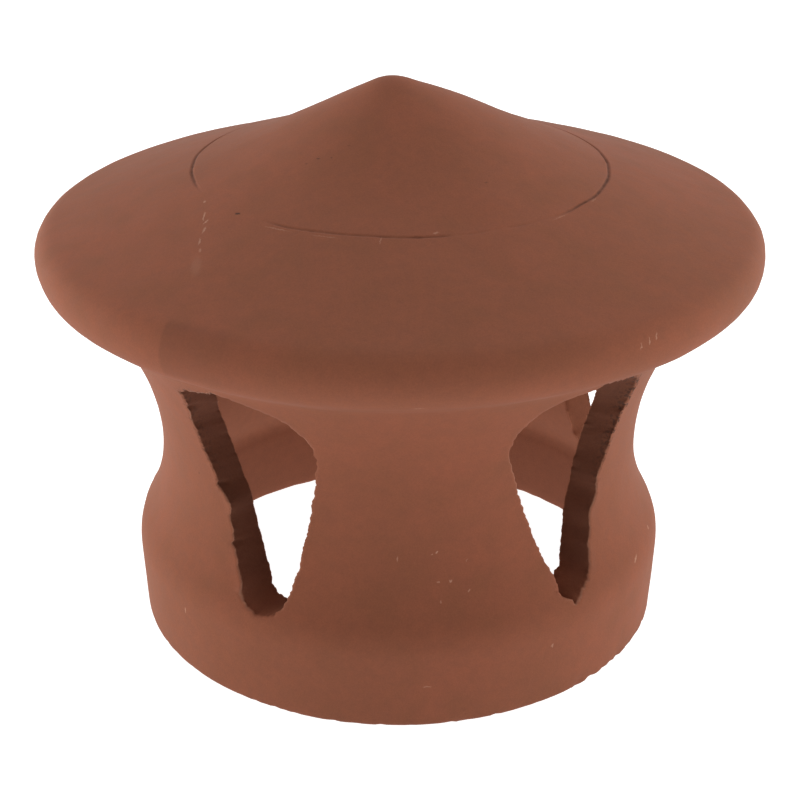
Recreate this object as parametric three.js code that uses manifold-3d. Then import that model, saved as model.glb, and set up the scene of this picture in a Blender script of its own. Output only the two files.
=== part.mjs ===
// Ventilated terracotta chimney cowl: a round foot, a waisted neck with five teardrop
// windows, and a wide cap with a low cone on it. One piece of fired clay.
// Millimetres, +Z up, origin at the centre of the foot's underside. The middle of one
// pillar faces -Y.
import * as THREE from 'three';
import { mergeVertices } from 'three/addons/utils/BufferGeometryUtils.js';
import Module from 'manifold-3d';

// Driving dimensions of the turned body
const HEIGHT = 240;
const RIM_RADIUS = 152.5;
const RIM_HEIGHT = 171;
const CREASE_RADIUS = 86.5;
const FOOT_RADIUS = 116.8;
const FOOT_BATTER = 1.2;
const WAIST_RADIUS = 104.3;
const WAIST_HEIGHT = 82;
const WALL = 12.5;
const TURNED_SIDES = 60;
const INSIDE_STEP = 4.5;

// Foot: its outer edge is softened, and inside it is a straight socket for the pot
const FOOT_EDGE = 2.4;
const SOCKET_RADIUS = 102.8;
const SOCKET_DEPTH = 34.5;
const SOCKET_EDGE = 2;

// Curves of the outside, from the foot's shoulder up to the cap's underside
const SHOULDER_CURVE = 24.5;
const SHOULDER_LEAN = 29.5;
const HOLLOW_CURVE = 73;
const NECK_CURVE = 108;
const THROAT_CURVE = 12;
const UNDERSIDE_SLOPE = 29.5;

// Cap: the round rim has a fuller curve below than above
const RIM_CURVE_BELOW = 14;
const RIM_CURVE_ABOVE = 11;
const CAP_SLOPE = 18.9;
const CONE_SAG = 0.8;
const CONE_SWAY = 0.6;
const TIP_RADIUS = 4;
const TIP_DROP = 1.8;
const TIP_STEPS = 2;

// Windows: teardrops with the round end up, cut straight in towards the axis. Each leans a
// little, with its tip to the right as seen from outside
const WINDOWS = 5;
const FIRST_WINDOW = 36;
const WINDOW_SILL = 42.5;
const WINDOW_TOP = 144;
const WINDOW_TIP_CURVE = 11.5;
const WINDOW_HALF_WIDTH = 30.5;
const WINDOW_WIDEST = 117;
const WINDOW_SQUARENESS = 2.3;
const WINDOW_LEAN = 4.8;
const SILL_FALL = 0.12;
const CUT_INSIDE = 70;
const CUT_OUTSIDE = 150;

const CLAY_COLOUR = 0x9a5b45;
const CLAY_ROUGHNESS = 0.92;

const degrees = THREE.MathUtils.degToRad;

// Points of a circular arc in the (radius, height) plane
function arc(centre, radius, from, to, steps) {
  const points = [];
  for (let k = 0; k <= steps; k += 1) {
    const turn = degrees(from + ((to - from) * k) / steps);
    const x = centre.x + radius * Math.cos(turn);
    const y = centre.y + radius * Math.sin(turn);
    points.push(new THREE.Vector2(x, y));
  }
  return points;
}

// Where the shoulder's curve starts, so that its lean runs on into the hollow above it
function shoulderStart() {
  const lean = degrees(SHOULDER_LEAN);
  const both = HOLLOW_CURVE + SHOULDER_CURVE;
  const x = WAIST_RADIUS + both * (1 - Math.cos(lean));
  const y = WAIST_HEIGHT - both * Math.sin(lean);
  return new THREE.Vector2(x, y);
}

// Where the underside's straight slope meets the round rim
function undersideEnd() {
  const centre = new THREE.Vector2(RIM_RADIUS - RIM_CURVE_BELOW, RIM_HEIGHT);
  return arc(centre, RIM_CURVE_BELOW, UNDERSIDE_SLOPE - 90, 0, 1)[0];
}

// Centre of the small throat curve, which touches the neck's curve and the underside
function throatCentre() {
  const slope = degrees(UNDERSIDE_SLOPE);
  const end = undersideEnd();
  const along = new THREE.Vector2(-Math.cos(slope), -Math.sin(slope));
  const below = new THREE.Vector2(Math.sin(slope), -Math.cos(slope));
  const start = end.clone().addScaledVector(below, THROAT_CURVE);
  const neck = new THREE.Vector2(WAIST_RADIUS + NECK_CURVE, WAIST_HEIGHT);
  const reach = NECK_CURVE - THROAT_CURVE;
  const offset = start.clone().sub(neck);
  const half = offset.dot(along);
  const gap = offset.lengthSq() - reach * reach;
  const run = -half + Math.sqrt(half * half - gap);
  return start.addScaledVector(along, run);
}

// The outside of the cowl, from the foot's underside up to the tip of the cone
function outerProfile() {
  const shoulder = shoulderStart();
  const shoulderCentre = new THREE.Vector2(shoulder.x - SHOULDER_CURVE, shoulder.y);
  const hollowCentre = new THREE.Vector2(WAIST_RADIUS + HOLLOW_CURVE, WAIST_HEIGHT);
  const neckCentre = new THREE.Vector2(WAIST_RADIUS + NECK_CURVE, WAIST_HEIGHT);
  const throat = throatCentre();
  const neckTurn = Math.atan2(throat.y - neckCentre.y, throat.x - neckCentre.x);
  const neckEnd = THREE.MathUtils.radToDeg(neckTurn);
  const footRadius = FOOT_RADIUS - FOOT_BATTER;
  const footEdge = new THREE.Vector2(footRadius - FOOT_EDGE, FOOT_EDGE);
  const rimBelow = new THREE.Vector2(RIM_RADIUS - RIM_CURVE_BELOW, RIM_HEIGHT);
  const rimAbove = new THREE.Vector2(RIM_RADIUS - RIM_CURVE_ABOVE, RIM_HEIGHT);
  return [
    ...arc(footEdge, FOOT_EDGE, -90, 0, 3),
    ...arc(shoulderCentre, SHOULDER_CURVE, 0, SHOULDER_LEAN, 4),
    ...arc(hollowCentre, HOLLOW_CURVE, 180 + SHOULDER_LEAN, 180, 6).slice(1),
    ...arc(neckCentre, NECK_CURVE, 180, neckEnd, 6).slice(1),
    ...arc(throat, THROAT_CURVE, neckEnd, 90 + UNDERSIDE_SLOPE, 4).slice(1),
    ...arc(rimBelow, RIM_CURVE_BELOW, UNDERSIDE_SLOPE - 90, 0, 5),
    ...arc(rimAbove, RIM_CURVE_ABOVE, 0, 90 - CAP_SLOPE, 5).slice(1),
    ...coneProfile(rimAbove),
  ];
}

// The top of the cap from the rim in to the crease, and the cone, which is a little
// hollow, most of all below its middle, and has a small round tip
function coneProfile(rimAbove) {
  const slope = degrees(CAP_SLOPE);
  const shoulderX = rimAbove.x + RIM_CURVE_ABOVE * Math.sin(slope);
  const shoulderY = rimAbove.y + RIM_CURVE_ABOVE * Math.cos(slope);
  const creaseHeight = shoulderY + (shoulderX - CREASE_RADIUS) * Math.tan(slope);
  const points = [new THREE.Vector2(CREASE_RADIUS, creaseHeight)];
  const steps = 5;
  for (let k = 1; k <= steps; k += 1) {
    const share = k / steps;
    const x = THREE.MathUtils.lerp(CREASE_RADIUS, TIP_RADIUS, share);
    const straight = THREE.MathUtils.lerp(creaseHeight, HEIGHT - TIP_DROP, share);
    const sag = CONE_SAG * Math.sin(Math.PI * share);
    const sway = CONE_SWAY * Math.sin(2 * Math.PI * share);
    points.push(new THREE.Vector2(x, straight - sag - sway));
  }
  for (let k = 1; k <= TIP_STEPS; k += 1) {
    const reach = 1 - k / TIP_STEPS;
    points.push(new THREE.Vector2(TIP_RADIUS * reach, HEIGHT - TIP_DROP * reach * reach));
  }
  return points;
}

// The inside: the same curves one wall further in, above the straight socket of the foot
function innerProfile(outer) {
  const inside = [];
  for (let k = 1; k < outer.length - 1; k += 1) {
    const run = outer[k + 1].clone().sub(outer[k - 1]).normalize();
    const inward = new THREE.Vector2(-run.y, run.x);
    const point = outer[k].clone().addScaledVector(inward, WALL);
    const last = inside[inside.length - 1];
    const rises = !last || point.distanceTo(last) > INSIDE_STEP;
    if (point.y > SOCKET_DEPTH && point.x > TIP_RADIUS && rises) {
      inside.push(point);
    }
  }
  const edge = new THREE.Vector2(SOCKET_RADIUS + SOCKET_EDGE, SOCKET_EDGE);
  const ceiling = new THREE.Vector2(0, HEIGHT - WALL / Math.cos(degrees(CAP_SLOPE)) - TIP_DROP);
  return [
    ...arc(edge, SOCKET_EDGE, 270, 180, 3),
    new THREE.Vector2(SOCKET_RADIUS, SOCKET_DEPTH),
    ...inside,
    ceiling,
  ];
}

// The turned body as one closed section, from the axis down the inside and up the outside
function turnedBody() {
  const outer = outerProfile();
  const inner = innerProfile(outer).reverse();
  const body = new THREE.LatheGeometry([...inner, ...outer], TURNED_SIDES);
  body.rotateX(Math.PI / 2);
  return body;
}

// Half the outline of a window, as widths at heights: a round tip, straight sides and a
// full round top
function windowOutline() {
  const tip = new THREE.Vector2(0, WINDOW_SILL + WINDOW_TIP_CURVE);
  const rise = WINDOW_WIDEST - tip.y;
  const lean = Math.atan2(WINDOW_HALF_WIDTH - WINDOW_TIP_CURVE, rise);
  const right = arc(tip, WINDOW_TIP_CURVE, -90, -THREE.MathUtils.radToDeg(lean), 4);
  const steps = 7;
  const power = 2 / WINDOW_SQUARENESS;
  for (let k = 0; k <= steps; k += 1) {
    const turn = ((Math.PI / 2) * k) / steps;
    const x = WINDOW_HALF_WIDTH * Math.cos(turn) ** power;
    const y = WINDOW_WIDEST + (WINDOW_TOP - WINDOW_WIDEST) * Math.sin(turn) ** power;
    right.push(new THREE.Vector2(x, y));
  }
  const left = right.slice(1, -1).reverse();
  return [...right, ...left.map((point) => new THREE.Vector2(-point.x, point.y))];
}

// A cutter for one window: its sides run in towards the axis, and its sill falls outwards
function windowCutter(angle) {
  const depth = CUT_OUTSIDE - CUT_INSIDE;
  const shape = new THREE.Shape(windowOutline());
  const cutter = new THREE.ExtrudeGeometry(shape, { depth, steps: 1, bevelEnabled: false });
  const corners = cutter.attributes.position;
  const lean = Math.tan(degrees(WINDOW_LEAN));
  for (let k = 0; k < corners.count; k += 1) {
    const out = CUT_INSIDE + corners.getZ(k);
    const narrow = out / WAIST_RADIUS;
    const height = corners.getY(k);
    const across = corners.getX(k) + lean * (WAIST_HEIGHT - height);
    const aboveSill = (height - WINDOW_SILL) / (WINDOW_WIDEST - WINDOW_SILL);
    const fall = SILL_FALL * (FOOT_RADIUS - out) * Math.max(0, 1 - aboveSill);
    corners.setXYZ(k, across * narrow, -out, height + fall);
  }
  cutter.rotateZ(angle);
  return cutter;
}

// A closed solid from a geometry whose shared corners are merged
function solid(wasm, geometry) {
  geometry.deleteAttribute('normal');
  geometry.deleteAttribute('uv');
  const merged = mergeVertices(geometry, 1e-4);
  const vertProperties = new Float32Array(merged.attributes.position.array);
  const triVerts = new Uint32Array(merged.index.array);
  return new wasm.Manifold(new wasm.Mesh({ numProp: 3, vertProperties, triVerts }));
}

function geometryOf(body) {
  const mesh = body.getMesh();
  const geometry = new THREE.BufferGeometry();
  geometry.setAttribute('position', new THREE.BufferAttribute(mesh.vertProperties, 3));
  geometry.setIndex(new THREE.BufferAttribute(mesh.triVerts, 1));
  return geometry;
}

const wasm = await Module();
wasm.setup();

let cowl = solid(wasm, turnedBody());
for (let k = 0; k < WINDOWS; k += 1) {
  const angle = degrees(FIRST_WINDOW + (360 / WINDOWS) * k);
  cowl = cowl.subtract(solid(wasm, windowCutter(angle)));
}

const clay = new THREE.MeshStandardMaterial({
  color: CLAY_COLOUR,
  roughness: CLAY_ROUGHNESS,
  metalness: 0,
});
const cowlMesh = new THREE.Mesh(geometryOf(cowl), clay);
cowlMesh.name = 'cowl';

const group = new THREE.Group();
group.add(cowlMesh);

export default group;
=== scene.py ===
import math
from typing import NamedTuple

import bpy
from bpy.props import FloatProperty, FloatVectorProperty, PointerProperty
from mathutils import Matrix, Vector, noise
from mathutils.geometry import delaunay_2d_cdt


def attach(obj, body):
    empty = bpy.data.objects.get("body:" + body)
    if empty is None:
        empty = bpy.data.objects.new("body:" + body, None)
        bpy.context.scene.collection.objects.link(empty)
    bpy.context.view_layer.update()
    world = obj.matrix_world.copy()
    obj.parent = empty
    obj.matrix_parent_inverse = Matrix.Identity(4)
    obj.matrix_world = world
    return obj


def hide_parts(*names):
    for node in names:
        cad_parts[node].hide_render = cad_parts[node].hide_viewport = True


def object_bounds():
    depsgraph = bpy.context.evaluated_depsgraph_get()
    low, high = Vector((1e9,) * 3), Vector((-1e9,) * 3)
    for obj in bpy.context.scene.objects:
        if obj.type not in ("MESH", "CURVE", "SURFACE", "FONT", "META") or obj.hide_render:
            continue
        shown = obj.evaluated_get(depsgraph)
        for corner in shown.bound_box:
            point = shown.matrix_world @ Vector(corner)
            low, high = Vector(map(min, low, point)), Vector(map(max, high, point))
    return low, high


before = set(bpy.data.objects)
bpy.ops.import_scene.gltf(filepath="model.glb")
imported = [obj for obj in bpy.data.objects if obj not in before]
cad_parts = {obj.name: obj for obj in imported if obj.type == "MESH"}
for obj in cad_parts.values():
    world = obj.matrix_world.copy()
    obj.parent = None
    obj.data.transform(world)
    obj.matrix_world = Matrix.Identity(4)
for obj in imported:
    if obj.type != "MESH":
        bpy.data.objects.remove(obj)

bl_info = {
    "name": "Terracotta chimney cowl",
    "version": (1, 0, 0),
    "blender": (4, 5, 0),
    "location": "3D View > Sidebar > Cowl",
    "description": "Builds a turned terracotta chimney cowl with hand-cut windows, and its studio",
    "category": "Object",
}

FRAME_LOW, FRAME_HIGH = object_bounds()
MM = 0.001
TINY = 1e-6
WINDOWS = 5
BAY_ANGLE = 360 / WINDOWS

# The solid's box gives the cap's radius, and the height before the cone's tip was worn down
RIM_RADIUS = (FRAME_HIGH.x - FRAME_LOW.x) / 2
WORN_HEIGHT = FRAME_HIGH.z - 1.4 * MM

# Points in a full ring, and the radii below which a ring has fewer, by a divisor
OUTSIDE_SEGMENTS = 300
INSIDE_SEGMENTS = 150
SMALLER_RINGS = ((9 * MM, 10), (26 * MM, 4), (55 * MM, 2))

# How far apart points lie on the outlines. The inside is the outside moved in by the wall, with
# its points at least the least step apart and the ledge's gap above the socket. The way out of
# the clay is taken over the facing span to either side
ARC_STEP = 0.8 * MM
LINE_STEP = 2 * MM
TIP_STEP = 0.5 * MM
INSIDE_STEP = 2.5 * MM
LEAST_INSIDE_STEP = 1.5 * MM
LEDGE_GAP = 2 * MM
FACING_SPAN = 0.9 * MM

# How far apart the mesh's rows lie on each part, and the first and last ring from the axis
OUTER_ROWS = 2.2 * MM
CONE_ROWS = 2.3 * MM
GROOVE_ROWS = 0.3 * MM
FOOT_EDGE_ROWS = 0.7 * MM
UNDERSIDE_ROWS = 1.6 * MM
SOCKET_EDGE_ROWS = 0.8 * MM
INNER_ROWS = 4 * MM
CEILING_ROWS = 5 * MM
FIRST_RING = 2 * MM
LAST_RING = 0.8 * MM

# How far apart points lie round a window, the rows of its cut face through the wall, and how
# much of the edge's size is rounded off towards that face
CUT_STEP = 0.7 * MM
TIP_CURVE_STEP = 0.3 * MM
CUT_ROWS = 9
ROUNDED = 0.35

# The windows lie between these heights, outside and inside. The third number is how far apart
# the rows lie there
OUTER_BAND = (35 * MM, 153 * MM, 2.3 * MM)
INNER_BAND = (38 * MM, 153 * MM, INNER_ROWS)

# Points of the outlines nearer to the axis than this are on the ceiling or the cone. The number
# of halvings finds a height on an outline to well under a micrometre
CEILING_RADIUS = 95 * MM
HALVINGS = 24


def number_prop(name, description, default, unit="NONE"):
    return FloatProperty(name=name, description=description, default=default, unit=unit)


def length_prop(name, description, default):
    measure = {"unit": "LENGTH", "subtype": "DISTANCE", "precision": 4}
    return FloatProperty(name=name, description=description, default=default, **measure)


def share_prop(name, description, default):
    measure = {"subtype": "FACTOR", "min": 0, "max": 1}
    return FloatProperty(name=name, description=description, default=default, **measure)


def angle_prop(name, description, degrees):
    measure = {"unit": "ROTATION", "subtype": "ANGLE", "default": math.radians(degrees)}
    return FloatProperty(name=name, description=description, **measure)


def colour_prop(name, description, default):
    measure = {"size": 3, "subtype": "COLOR", "min": 0, "max": 1}
    return FloatVectorProperty(name=name, description=description, default=default, **measure)


class CowlForm(bpy.types.PropertyGroup):
    """Sizes of the turned body"""

    height: length_prop("Height", "From the foot's underside to the worn tip", WORN_HEIGHT)
    rim_radius: length_prop("Rim radius", "Half the width of the cap", RIM_RADIUS)
    rim_height: length_prop("Rim height", "Where the cap is widest", 171 * MM)
    rim_below: length_prop("Rim curve below", "Radius of the rim's lower half", 14 * MM)
    rim_above: length_prop("Rim curve above", "Radius of the rim's upper half", 11 * MM)
    cap_slope: angle_prop("Cap slope", "Slope of the cap between the rim and the cone", 18.9)
    crease_radius: length_prop("Cone radius", "Radius of the line round the cone", 86.5 * MM)
    cone_sag: length_prop("Cone sag", "How hollow the cone is", 1.5 * MM)
    cone_sway: length_prop("Cone sway", "How much hollower the cone is low down", 0.6 * MM)
    tip_radius: length_prop("Tip radius", "Half the width of the round tip", 8 * MM)
    tip_drop: length_prop("Tip drop", "How far the round tip falls to its edge", 1.7 * MM)
    underside_slope: angle_prop("Underside slope", "Slope of the cap's underside", 29.5)
    throat_curve: length_prop("Throat curve", "Radius where the neck meets the cap", 12 * MM)
    neck_curve: length_prop("Neck curve", "Radius of the neck above its waist", 108 * MM)
    waist_radius: length_prop("Waist radius", "Half the width of the neck", 104.3 * MM)
    waist_height: length_prop("Waist height", "Where the neck is narrowest", 82 * MM)
    hollow_curve: length_prop("Hollow curve", "Radius of the neck below its waist", 73 * MM)
    shoulder_curve: length_prop("Shoulder curve", "Radius of the foot's round shoulder", 24.5 * MM)
    shoulder_lean: angle_prop("Shoulder lean", "Where the shoulder's curve meets the hollow", 29.5)
    foot_radius: length_prop("Foot radius", "Half the width of the foot at its edge", 115.6 * MM)
    foot_edge: length_prop("Foot edge", "Radius of the foot's soft outer edge", 2.4 * MM)
    wall: length_prop("Wall", "Thickness of the clay", 12.5 * MM)
    socket_radius: length_prop("Socket radius", "Half the width of the foot inside", 102.8 * MM)
    socket_depth: length_prop("Socket depth", "Height of the foot's straight inside", 34.5 * MM)
    socket_edge: length_prop("Socket edge", "Radius of the foot's inner edge", 2 * MM)


class CowlWindows(bpy.types.PropertyGroup):
    """Sizes of the hand-cut windows"""

    sill: length_prop("Sill", "Height of the window's tip", 42.5 * MM)
    top: length_prop("Top", "Height of the window's round end", 144 * MM)
    widest: length_prop("Widest", "Height where the window is widest", 117 * MM)
    half_width: length_prop("Half width", "Half the window's width at the waist", 30.5 * MM)
    squareness: number_prop("Squareness", "2 is an oval top, more is squarer", 2.3)
    lean: angle_prop("Lean", "How far the window's tip leans to the right", 4.8)
    sill_fall: share_prop("Sill fall", "How much the sill falls outwards", 0.12)
    rough: length_prop("Roughness", "How far the cut edge wanders", 0.75 * MM)
    lip: length_prop("Lip", "How far clay is dragged up at the cut's outer edge", 0.35 * MM)
    edge: length_prop("Edge", "How far the cut's edges are rounded", 0.7 * MM)


class CowlWear(bpy.types.PropertyGroup):
    """Marks of the hand and of handling"""

    wander: length_prop("Wander", "How far the form strays from a true circle", 0.45 * MM)
    dents: length_prop("Dents", "Depth of the soft unevenness of the surface", 0.2 * MM)
    groove: length_prop("Groove", "Depth of the line round the cone", 0.9 * MM)
    groove_width: length_prop("Groove width", "Half the width of the cone's line", 1.05 * MM)
    foot_chips: length_prop("Foot chips", "Depth of the rough places on the foot's edge", 1.2 * MM)
    cap_shift: length_prop("Cap shift", "How far the cap sits to one side of the neck", 0.7 * MM)
    tip_lean: length_prop("Tip lean", "How far the cone's tip leans the other way", 3.2 * MM)
    cone_full: length_prop("Full side", "How much fuller the cone is on its right side", 0.9 * MM)


class CowlClay(bpy.types.PropertyGroup):
    """Colours of the fired clay"""

    body: colour_prop("Clay", "Main colour of the fired clay", (0.215, 0.070, 0.0365))
    warm: colour_prop("Warm clay", "Redder, brighter patches", (0.232, 0.0725, 0.038))
    dull: colour_prop("Dull clay", "Browner, duller patches", (0.2, 0.0675, 0.0345))
    # Painted light: the paler colour that the inside and the lighter cut faces take, for the light
    # that comes up from the glowing floor
    painted_inside_light: colour_prop("Dusty clay", "Paler, unsmoothed clay on the inside", (0.33, 0.122, 0.068))
    # The scuffs' colour also paints a highlight along the windows' outer edges
    scuff: colour_prop("Scuffs", "Pale scratches and specks", (0.46, 0.27, 0.19))
    dirt: colour_prop("Dirt", "Dark pits and the line round the cone", (0.05, 0.022, 0.014))
    roughness: share_prop("Roughness", "Roughness of the clay", 0.82)


class CowlStudio(bpy.types.PropertyGroup):
    """Camera, lights and floor"""

    camera_azimuth: angle_prop("Camera azimuth", "Where the camera stands round the cowl", -4.7)
    camera_distance: length_prop("Camera distance", "Level, from the cowl's axis", 689.2 * MM)
    camera_height: length_prop("Camera height", "Above the floor", 426.9 * MM)
    camera_pitch: angle_prop("Camera pitch", "How far the camera looks down", 25.905)
    camera_yaw: angle_prop("Camera yaw", "How far the camera looks to the right of the axis", 0.05)
    lens: number_prop("Lens", "Focal length", 77.6, "CAMERA")
    sky: number_prop("Sky", "Strength of the light from all round", 1.12)
    front: share_prop("Front", "How bright the air is on the camera's side", 0.1)
    left: number_prop("Left lamp", "Power of the left lamp", 13, "POWER")
    right: number_prop("Right lamp", "Power of the right lamp", 9, "POWER")
    lamp_colour: colour_prop("Lamps", "Colour of both lamps' light", (1, 0.965, 0.84))
    floor_colour: colour_prop("Floor", "Colour of the floor", (0.4, 0.4, 0.4))
    floor_glow: number_prop("Floor glow", "Light from the floor itself", 1.0)
    floor_size: length_prop("Floor size", "Half the width of the floor", 30.0)


GROUPS = {
    "cowl_form": CowlForm,
    "cowl_windows": CowlWindows,
    "cowl_wear": CowlWear,
    "cowl_clay": CowlClay,
    "cowl_studio": CowlStudio,
}


def arc(centre, radius, start, end, step=ARC_STEP):
    """Points along an arc in the (radius, height) plane, angles in radians"""
    count = max(2, round(abs(end - start) * radius / step))
    turns = (start + (end - start) * k / count for k in range(count + 1))
    return [centre + radius * Vector((math.cos(turn), math.sin(turn))) for turn in turns]


def line(start, end, step=LINE_STEP):
    """Points along a straight run in the (radius, height) plane"""
    count = max(1, round((end - start).length / step))
    return [start.lerp(end, k / count) for k in range(count + 1)]


class Outline:
    """A turned outline in the (radius, height) plane, read by the length along it"""

    def __init__(self, points, inside=0):
        self.inside = inside
        self.points = [points[0]]
        self.reach = [0.0]
        for point in points[1:]:
            step = (point - self.points[-1]).length
            if step > TINY:
                self.points.append(point)
                self.reach.append(self.reach[-1] + step)

    @property
    def length(self):
        return self.reach[-1]

    def at(self, length):
        """The point of the outline at a length along it"""
        length = min(max(length, 0.0), self.length)
        low, high = 0, len(self.reach) - 1
        while high - low > 1:
            middle = (low + high) // 2
            low, high = (middle, high) if self.reach[middle] <= length else (low, middle)
        share = (length - self.reach[low]) / (self.reach[high] - self.reach[low])
        return self.points[low].lerp(self.points[high], share)

    def facing(self, length, span=FACING_SPAN):
        """The direction out of the clay at a length along the outline"""
        run = (self.at(length + span) - self.at(length - span)).normalized()
        return Vector((run.y, -run.x))

    def length_where(self, test):
        """The first length whose point passes a test"""
        return next(reach for reach, point in zip(self.reach, self.points) if test(point))


def outside_points(form):
    """The outside from the foot's underside up to the cone's tip, as named stretches"""
    half_turn = math.pi
    lean, under = form.shoulder_lean, form.underside_slope
    bend = form.hollow_curve + form.shoulder_curve
    shoulder = Vector(
        (
            form.waist_radius + bend * (1 - math.cos(lean)) - form.shoulder_curve,
            form.waist_height - bend * math.sin(lean),
        )
    )
    foot = Vector((form.foot_radius - form.foot_edge, form.foot_edge))
    hollow = Vector((form.waist_radius + form.hollow_curve, form.waist_height))
    neck = Vector((form.waist_radius + form.neck_curve, form.waist_height))
    rim_below = Vector((form.rim_radius - form.rim_below, form.rim_height))
    rim_above = Vector((form.rim_radius - form.rim_above, form.rim_height))
    throat = throat_centre(form, neck, rim_below)
    rise = throat - neck
    neck_end = math.atan2(rise.y, rise.x)
    foot_curve = arc(foot, form.foot_edge, -half_turn / 2, 0)
    shoulder_arc = arc(shoulder, form.shoulder_curve, 0, lean)
    return (
        foot_curve
        + line(foot_curve[-1], shoulder_arc[0])[1:]
        + shoulder_arc
        + arc(hollow, form.hollow_curve, half_turn + lean, half_turn)
        + arc(neck, form.neck_curve, half_turn, neck_end)
        + arc(throat, form.throat_curve, neck_end, half_turn / 2 + under)
        + arc(rim_below, form.rim_below, under - half_turn / 2, 0)
        + arc(rim_above, form.rim_above, 0, half_turn / 2 - form.cap_slope)
        + cone_points(form, rim_above)
    )


def throat_centre(form, neck, rim_below):
    """Centre of the throat's curve, which touches the neck's curve and the underside"""
    slope = form.underside_slope
    along = Vector((-math.cos(slope), -math.sin(slope)))
    below = Vector((math.sin(slope), -math.cos(slope)))
    start = rim_below + below * (form.rim_below + form.throat_curve)
    reach = form.neck_curve - form.throat_curve
    offset = start - neck
    half = offset.dot(along)
    return start + along * (math.sqrt(half * half - offset.length_squared + reach * reach) - half)


def cone_points(form, rim_above):
    """The cap's top from the rim in to the cone's foot, and the cone up to its tip"""
    slope = form.cap_slope
    shoulder = rim_above + form.rim_above * Vector((math.sin(slope), math.cos(slope)))
    crease_height = shoulder.y + (shoulder.x - form.crease_radius) * math.tan(slope)
    crease = Vector((form.crease_radius, crease_height))
    tip_edge = Vector((form.tip_radius, form.height - form.tip_drop))
    cone = line(crease, tip_edge)
    for k, point in enumerate(cone):
        share = k / (len(cone) - 1)
        point.y -= form.cone_sag * math.sin(math.pi * share)
        point.y -= form.cone_sway * math.sin(2 * math.pi * share)
    tip = line(tip_edge, Vector((0, form.height)), TIP_STEP)
    for point in tip:
        point.y = form.height - form.tip_drop * (point.x / form.tip_radius) ** 2
    return line(shoulder, crease) + cone + tip


def inside_points(form, outside):
    """The inside from the ceiling's middle down to the foot's inner edge"""
    socket_top = Vector((form.socket_radius, form.socket_depth))
    edge = Vector((form.socket_radius + form.socket_edge, form.socket_edge))
    ceiling = form.height - form.tip_drop - form.wall / math.cos(form.cap_slope)
    points = [Vector((0, ceiling))]
    ledge = form.socket_depth + LEDGE_GAP
    steps = round(outside.length / INSIDE_STEP)
    for k in range(steps, 0, -1):
        length = outside.length * k / steps
        point = outside.at(length) - outside.facing(length) * form.wall
        if point.x < form.tip_radius or point.y < ledge:
            continue
        if (point - points[-1]).length > LEAST_INSIDE_STEP:
            points.append(point)
    socket_edge = arc(edge, form.socket_edge, math.pi, math.pi * 1.5)
    return points + line(socket_top, socket_edge[0]) + socket_edge


# What each vertex knows of its place: how far it lies in the groove round the cone, on a cut face
# and how much painted shade darkens it, on the window's outer edge, which takes a painted
# highlight, how much painted light makes the inside paler, and among the crumbs of a broken edge
SHARES = ("groove", "cut", "edge", "dust", "crumbs")


class Surface:
    """Vertices and faces of the clay, gathered ring by ring"""

    def __init__(self, form, wear):
        self.form = form
        self.wear = wear
        self.verts = []
        self.faces = []
        self.shares = {name: [] for name in SHARES}

    def add(self, point, **shares):
        """A new vertex and its shares"""
        self.verts.append(point)
        for name, values in self.shares.items():
            values.append(shares.get(name, 0))
        return len(self.verts) - 1

    def turned(self, outline, azimuth, length):
        """A point of the turned form at an azimuth in degrees, with the hand's marks on it"""
        flat, out = outline.at(length), outline.facing(length)
        turn = math.radians(azimuth)
        side, front = math.sin(turn), -math.cos(turn)
        point = Vector((flat.x * side, flat.x * front, flat.y))
        normal = Vector((out.x * side, out.x * front, out.y))
        return worked(self.form, self.wear, point, normal, azimuth)

    def put(self, outline, azimuth, length):
        """A vertex of the turned form"""
        groove = groove_share(self.form, self.wear, azimuth, outline.at(length))
        # The inside gets painted light: a paler colour for the light that comes up from the glowing
        # floor
        dust = outline.inside * painted_inside_light(self.form, outline.at(length).y)
        return self.add(self.turned(outline, azimuth, length), groove=groove, dust=dust)

    def ring(self, outline, length, count):
        return [self.put(outline, 360 * k / count, length) for k in range(count)]

    def rings(self, outline, lengths, count, start=None):
        """Rings at lengths along an outline, with fewer points where they are small"""
        made = [start] if start else []
        for length in lengths:
            made.append(self.ring(outline, length, points_round(outline.at(length).x, count)))
            if len(made) > 1:
                self.stitch(made[-2], made[-1])
        return made[0], made[-1]

    def stitch(self, low, high):
        """Faces between two closed rings, which may differ in their number of points"""
        low, high = low + low[:1], high + high[:1]
        here, there = 0, 0
        while here < len(low) - 1 or there < len(high) - 1:
            next_low = (here + 1) / (len(low) - 1)
            next_high = (there + 1) / (len(high) - 1)
            if len(low) == len(high):
                self.faces.append((low[here], low[here + 1], high[there + 1], high[there]))
                here, there = here + 1, there + 1
            elif next_low <= next_high:
                self.faces.append((low[here], low[here + 1], high[there]))
                here += 1
            else:
                self.faces.append((low[here], high[there + 1], high[there]))
                there += 1

    def close(self, ring, outline, length, faces_back=False):
        """Closes a ring to a point on the axis"""
        tip = self.put(outline, 0, length)
        for corner, after in zip(ring, ring[1:] + ring[:1]):
            self.faces.append((after, corner, tip) if faces_back else (corner, after, tip))


def points_round(radius, count):
    """How many points a ring has: fewer where it is small"""
    for limit, divisor in SMALLER_RINGS:
        if radius <= limit:
            return count // divisor
    return count


def spaced(start, end, step):
    """Lengths from start to end, evenly spaced"""
    count = max(1, round(abs(end - start) / step))
    return [start + (end - start) * k / count for k in range(count + 1)]


def fade(value, low, high):
    """0 below low, 1 above high, and smooth between"""
    share = min(max((value - low) / (high - low), 0), 1)
    return share * share * (3 - 2 * share)


def around(azimuth, centre, width):
    """1 near an azimuth, falling smoothly to 0 at a width to either side of it"""
    away = abs((azimuth - centre + 180) % 360 - 180)
    full = 0.55 * width
    return 1 - fade(away, full, width)


def strongest(azimuth, places):
    """The strongest of several (azimuth, width, strength) places at an azimuth"""
    return max(strength * around(azimuth, centre, width) for centre, width, strength in places)


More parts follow.
